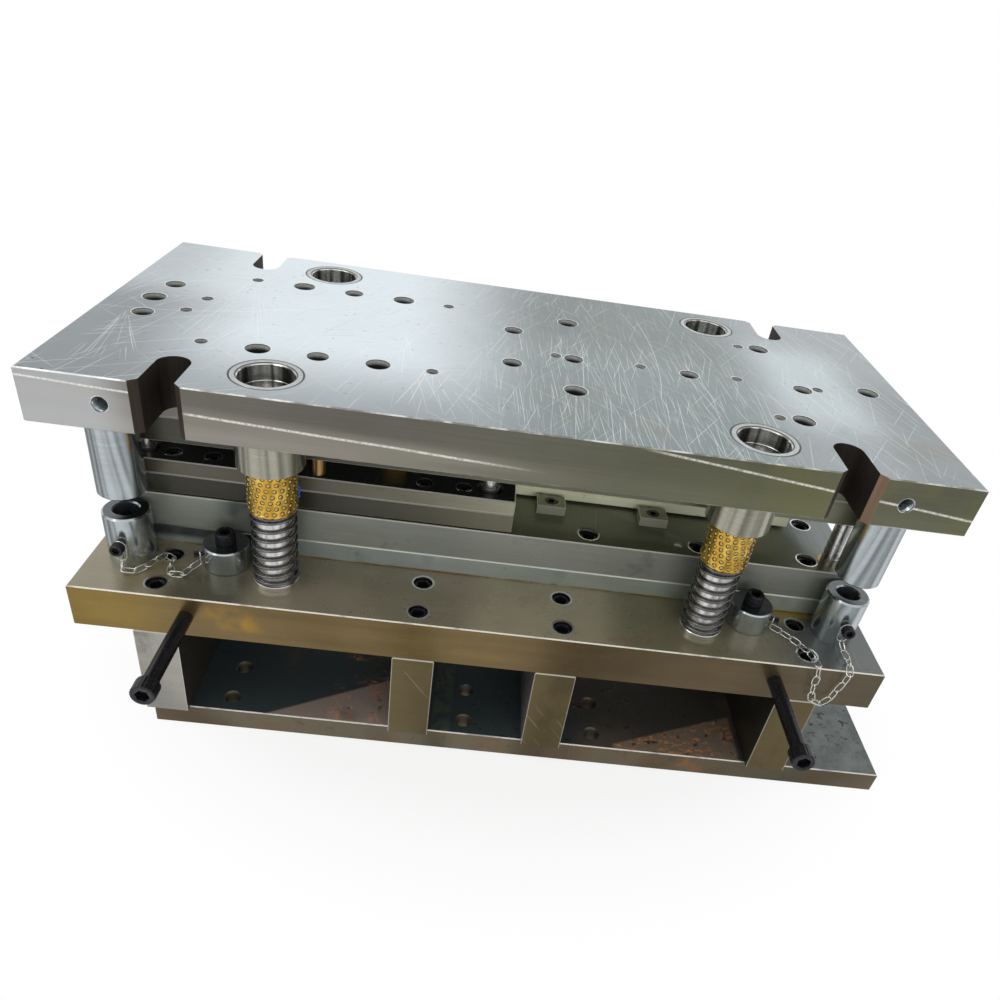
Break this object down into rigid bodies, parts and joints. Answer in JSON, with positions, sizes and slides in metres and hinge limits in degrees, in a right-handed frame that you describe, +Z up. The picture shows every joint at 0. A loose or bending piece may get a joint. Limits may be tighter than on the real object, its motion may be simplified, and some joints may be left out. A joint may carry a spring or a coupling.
{
  "type": "ball-guided press die set",
  "caption": "Open press die set: punch plates over a die plate, four ball-guided posts with coil springs, stop posts, parallels and a base plate",
  "frame": {"origin": "under the middle of the lower shoe, on the base plate's underside", "axes": "+X along the shoes to the right, -Y toward the front, +Z up"},
  "size_m": [0.816, 0.462, 0.38],
  "materials": {
    "shoe_steel": "ground tool steel, oiled",
    "base_steel": "ground mild steel with rust spots",
    "parallel_steel": "ground mild steel, oiled",
    "die_steel": "ground tool steel",
    "stripper_steel": "ground tool steel",
    "stripper_backing_steel": "ground tool steel, tanned by oil",
    "hardened_steel": "hardened and ground",
    "bush_steel": "hardened and ground",
    "bronze": "machined bronze",
    "turned_steel": "finely turned",
    "spring_steel": "drawn wire, oiled",
    "cage_brass": "bright machined",
    "black_screw": "black oxide",
    "zinc_chain": "zinc plated",
    "urethane": "cast polyurethane",
    "blue_plastic": "moulded"
  },
  "bodies": {
    "lower_die": {"base_plate": "base_steel", "parallel_1": "parallel_steel", "parallel_2": "parallel_steel", "parallel_3": "parallel_steel", "parallel_4": "parallel_steel", "lower_shoe": "shoe_steel", "parallel_screws": "black_screw", "die_backing_plate": "die_steel", "die_plate": "die_steel", "die_plate_screws": "black_screw", "die_dowels": "hardened_steel", "die_plate_bushes": "bronze", "stock_guides": "hardened_steel", "stock_guide_screws": "black_screw", "guide_post_front_left": "hardened_steel", "guide_post_front_right": "hardened_steel", "guide_post_rear_left": "hardened_steel", "guide_post_rear_right": "hardened_steel", "guide_spring_front_left": "spring_steel", "guide_spring_front_right": "spring_steel", "guide_spring_rear_left": "spring_steel", "guide_spring_rear_right": "spring_steel", "lower_limit_posts": "turned_steel", "lower_limit_screws": "black_screw", "chain_anchor_screws": "black_screw", "carry_bolts": "black_screw", "safety_chain_left": "zinc_chain", "safety_chain_right": "zinc_chain"},
    "stripper": {"stripper_plate_left": "stripper_steel", "stripper_backing_left": "stripper_backing_steel", "stripper_plate_right": "stripper_steel", "stripper_backing_right": "stripper_backing_steel", "stripper_screws": "black_screw", "stripper_bushes": "bronze", "stripper_bolts": "hardened_steel", "air_fitting": "blue_plastic", "stripper_springs": "urethane"},
    "upper_die": {"upper_shoe": "shoe_steel", "guide_bush_front_left": "bush_steel", "guide_bush_front_right": "bush_steel", "guide_bush_rear_left": "bush_steel", "guide_bush_rear_right": "bush_steel", "upper_limit_posts": "turned_steel", "upper_limit_screws": "black_screw", "punch_backing_plate": "die_steel", "punch_holder_plate": "die_steel", "stripper_guide_posts": "hardened_steel", "round_punches": "hardened_steel", "blade_punches": "hardened_steel", "upper_shoe_screws": "black_screw", "upper_dowels": "hardened_steel"},
    "cage_front_left": {"ball_cage_front_left": "cage_brass"},
    "cage_front_right": {"ball_cage_front_right": "cage_brass"},
    "cage_rear_left": {"ball_cage_rear_left": "cage_brass"},
    "cage_rear_right": {"ball_cage_rear_right": "cage_brass"},
    "spacer_left": {"storage_spacer_left": "turned_steel", "spacer_screws_left": "black_screw"},
    "spacer_right": {"storage_spacer_right": "turned_steel", "spacer_screws_right": "black_screw"}
  },
  "joints": [
    {"name": "die_opening", "type": "slide", "parent": "lower_die", "child": "stripper", "axis": [0, 0, 1], "range_m": [0, 0.04]},
    {"name": "press_closing", "type": "slide", "parent": "stripper", "child": "upper_die", "axis": [0, 0, 1], "range_m": [-0.0195, 0], "stiffness_N_per_m": 100000, "springref_m": 0.03, "deforming": ["stripper_springs"]},
    {"name": "cage_travel_front_left", "type": "slide", "parent": "lower_die", "child": "cage_front_left", "axis": [0, 0, 1], "range_m": [0, 0.02], "deforming": ["guide_spring_front_left"]},
    {"name": "cage_travel_front_right", "type": "slide", "parent": "lower_die", "child": "cage_front_right", "axis": [0, 0, 1], "range_m": [0, 0.02], "deforming": ["guide_spring_front_right"]},
    {"name": "cage_travel_rear_left", "type": "slide", "parent": "lower_die", "child": "cage_rear_left", "axis": [0, 0, 1], "range_m": [0, 0.02], "deforming": ["guide_spring_rear_left"]},
    {"name": "cage_travel_rear_right", "type": "slide", "parent": "lower_die", "child": "cage_rear_right", "axis": [0, 0, 1], "range_m": [0, 0.02], "deforming": ["guide_spring_rear_right"]},
    {"name": "spacer_left_lift", "type": "slide", "parent": "lower_die", "child": "spacer_left", "axis": [0, 0, 1], "range_m": [0, 0.03], "deforming": ["safety_chain_left"]},
    {"name": "spacer_right_lift", "type": "slide", "parent": "lower_die", "child": "spacer_right", "axis": [0, 0, 1], "range_m": [0, 0.03], "deforming": ["safety_chain_right"]}
  ],
  "couplings": [
    {"joint": "cage_travel_front_left", "follows": "die_opening", "ratio": 0.5},
    {"joint": "cage_travel_front_right", "follows": "die_opening", "ratio": 0.5},
    {"joint": "cage_travel_rear_left", "follows": "die_opening", "ratio": 0.5},
    {"joint": "cage_travel_rear_right", "follows": "die_opening", "ratio": 0.5}
  ]
}
